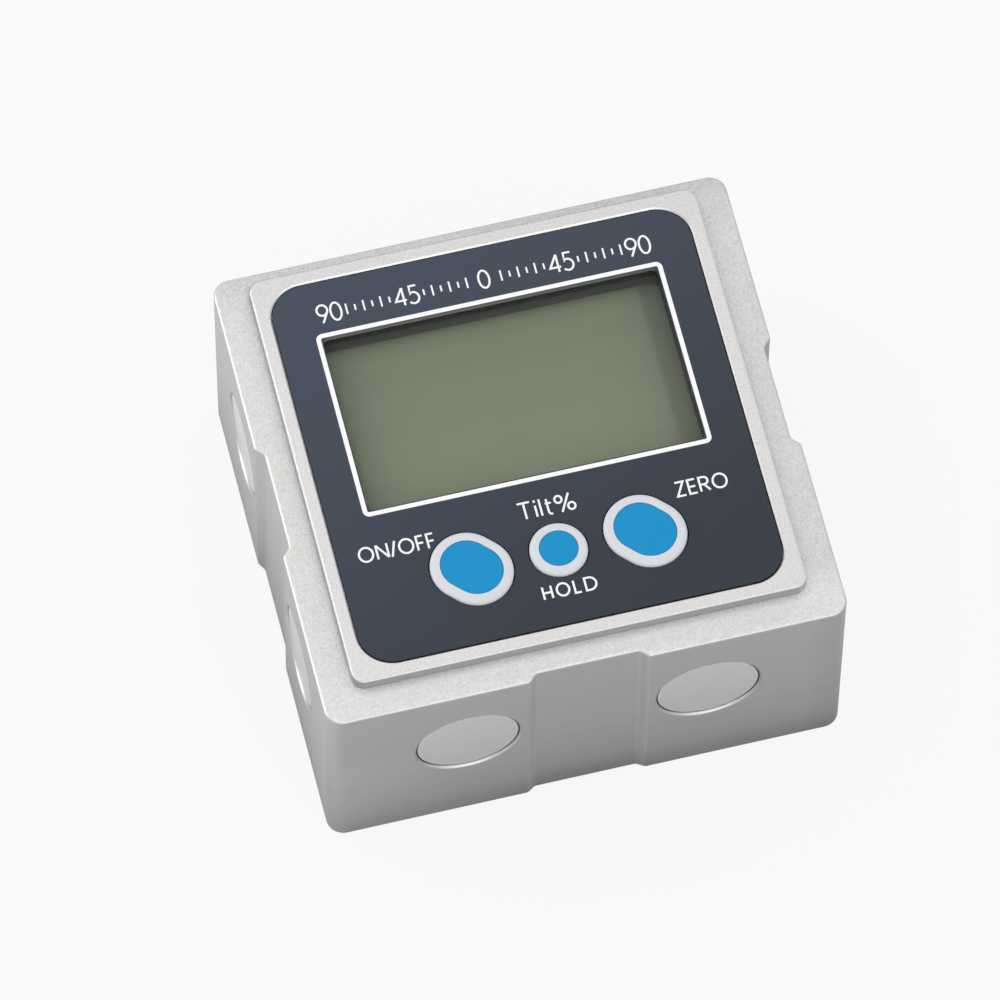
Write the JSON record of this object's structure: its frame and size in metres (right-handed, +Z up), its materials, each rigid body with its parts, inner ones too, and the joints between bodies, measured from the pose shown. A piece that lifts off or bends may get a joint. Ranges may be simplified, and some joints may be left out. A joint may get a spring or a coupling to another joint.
{
  "type": "digital angle gauge",
  "caption": "Square pocket angle gauge: metal housing with magnets in three sides, display window, row of push keys, and a battery door in its back.",
  "frame": {"origin": "centre of the resting face, the housing's lower rim", "axes": "+X to the right along the row of keys, +Y from the key side to the rear side, +Z up out of the display"},
  "size_m": [0.06, 0.0574, 0.031],
  "materials": {
    "housing_metal": "bead-blasted top, fine machined sides",
    "magnet_plating": "satin nickel plating",
    "panel_print": "glossy dark blue-grey print with white lettering",
    "clear_window": "clear and polished",
    "display_glass": "grey-green reflective display, blank",
    "key_white": "satin white",
    "key_blue": "satin blue",
    "black_plastic": "fine spark-eroded texture",
    "board_laminate": "green solder mask",
    "chip_plastic": "moulded black",
    "switch_metal": "plain steel can",
    "steel": "zinc plated",
    "nickel_strip": "nickel plated strip",
    "rubber_strip": "matte silicone",
    "foam": "open-cell foam",
    "cell_jacket": "plain plastic film over metal"
  },
  "bodies": {
    "root": {"housing": "housing_metal", "front_left_magnet": "magnet_plating", "front_right_magnet": "magnet_plating", "left_front_magnet": "magnet_plating", "left_rear_magnet": "magnet_plating", "right_front_magnet": "magnet_plating", "right_rear_magnet": "magnet_plating", "front_panel": "panel_print", "display_window": "clear_window", "display_frame": "black_plastic", "display_glass": "display_glass", "display_pad": "foam", "contact_strip": "rubber_strip", "on_off_switch": "switch_metal", "hold_switch": "switch_metal", "zero_switch": "switch_metal", "circuit_board": "board_laminate", "controller_chip": "chip_plastic", "tilt_sensor": "chip_plastic", "clock_crystal": "switch_metal", "board_screw_1": "steel", "board_screw_2": "steel", "board_screw_3": "steel", "board_screw_4": "steel", "back_cover": "black_plastic", "cover_screw_1": "steel", "cover_screw_2": "steel", "cover_screw_3": "steel", "cover_screw_4": "steel", "battery_cell_1": "cell_jacket", "battery_cell_2": "cell_jacket", "positive_terminal": "nickel_strip", "negative_terminal": "nickel_strip", "bridge_contact": "nickel_strip", "battery_spring_1": "steel", "battery_spring_2": "steel"},
    "on_off_key": {"on_off_key": "key_white", "on_off_key_face": "key_blue", "on_off_plunger": "black_plastic"},
    "hold_key": {"hold_key": "key_white", "hold_key_face": "key_blue", "hold_plunger": "black_plastic"},
    "zero_key": {"zero_key": "key_white", "zero_key_face": "key_blue", "zero_plunger": "black_plastic"},
    "battery_door": {"battery_door": "black_plastic"}
  },
  "joints": [
    {"name": "on_off_key_press", "type": "slide", "parent": "root", "child": "on_off_key", "axis": [0, 0, -1], "range_m": [0, 0.0004], "stiffness_N_per_m": 2500, "springref_m": -0.0001},
    {"name": "hold_key_press", "type": "slide", "parent": "root", "child": "hold_key", "axis": [0, 0, -1], "range_m": [0, 0.0004], "stiffness_N_per_m": 2500, "springref_m": -0.0001},
    {"name": "zero_key_press", "type": "slide", "parent": "root", "child": "zero_key", "axis": [0, 0, -1], "range_m": [0, 0.0004], "stiffness_N_per_m": 2500, "springref_m": -0.0001},
    {"name": "battery_door_hinge", "type": "hinge", "parent": "root", "child": "battery_door", "pos_m": [0, 0.0119, 0.0004], "axis": [1, 0, 0], "range_deg": [0, 85]}
  ]
}
